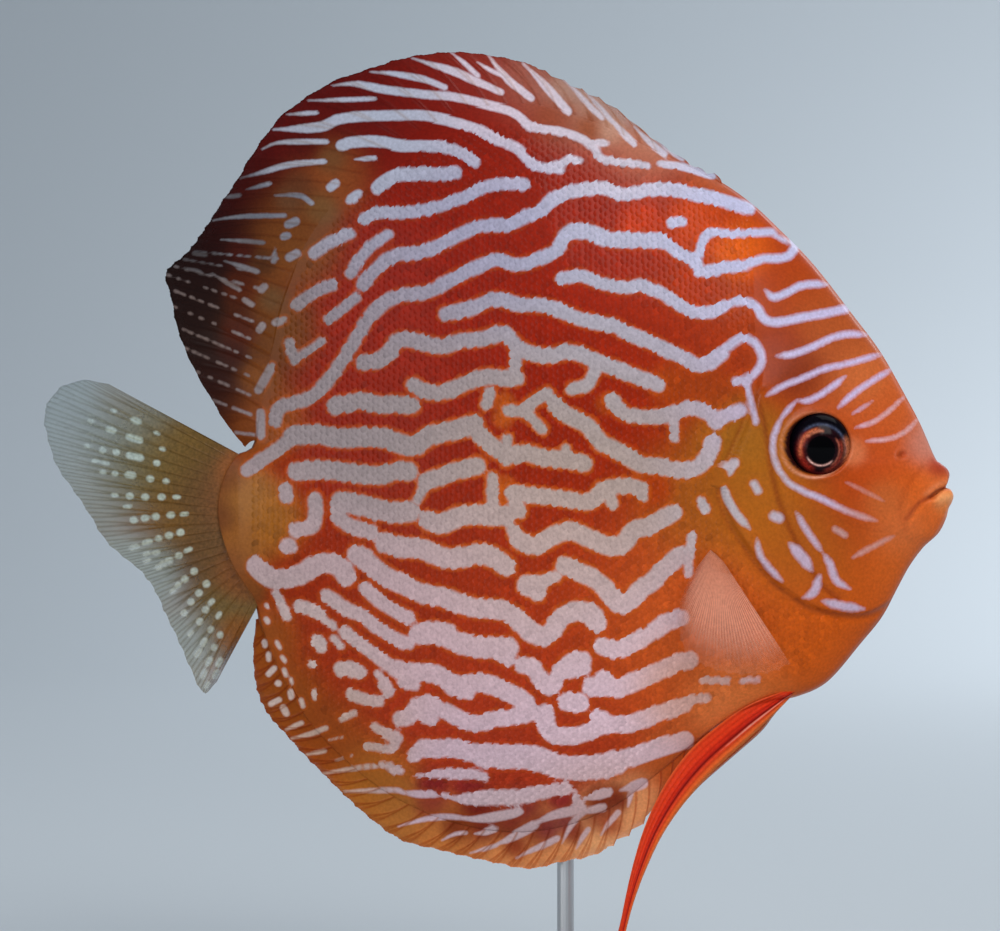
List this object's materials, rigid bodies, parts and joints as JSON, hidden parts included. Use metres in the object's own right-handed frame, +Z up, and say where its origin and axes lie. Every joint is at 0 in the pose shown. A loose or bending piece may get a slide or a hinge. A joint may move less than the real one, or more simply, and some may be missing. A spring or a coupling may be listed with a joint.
{
  "type": "discus fish",
  "caption": "Life-size still model of a discus fish in profile, disc-shaped with long low fins and a wavy-striped flank, on a plain stand.",
  "frame": {"origin": "centre of the model's box at the underside of the stand's base", "axes": "+X towards the fish's snout, +Z up, +Y towards the fish's left flank"},
  "size_m": [0.1606, 0.066, 0.1791],
  "materials": {
    "body_skin": "wet, glossy scales: pale lavender wavy stripes on red-orange",
    "fin_skin": "wet, satin fin skin over fine rays: pale stripes on dark red",
    "clear_fin_skin": "thin, half-clear fin skin over fine rays, olive to grey",
    "pelvic_skin": "wet, satin fin skin over long rays, bright red",
    "eye": "wet, clear gloss over a red-brown iris and a black pupil",
    "stand_wood": "satin lacquered dark wood",
    "stand_steel": "satin"
  },
  "bodies": {
    "root": {"head": "body_skin", "gill_cover_left": "body_skin", "gill_cover_right": "body_skin", "body": "body_skin", "tail_base": "body_skin", "dorsal_fin_spiny": "fin_skin", "dorsal_fin_soft": "fin_skin", "anal_fin_spiny": "fin_skin", "anal_fin_soft": "fin_skin", "tail_fin": "clear_fin_skin", "pectoral_fin_left": "clear_fin_skin", "pectoral_fin_right": "clear_fin_skin", "pelvic_fin_left": "pelvic_skin", "pelvic_fin_right": "pelvic_skin", "eye_left": "eye", "eye_right": "eye", "stand_base": "stand_wood", "stand_rod": "stand_steel"}
  },
  "joints": []
}
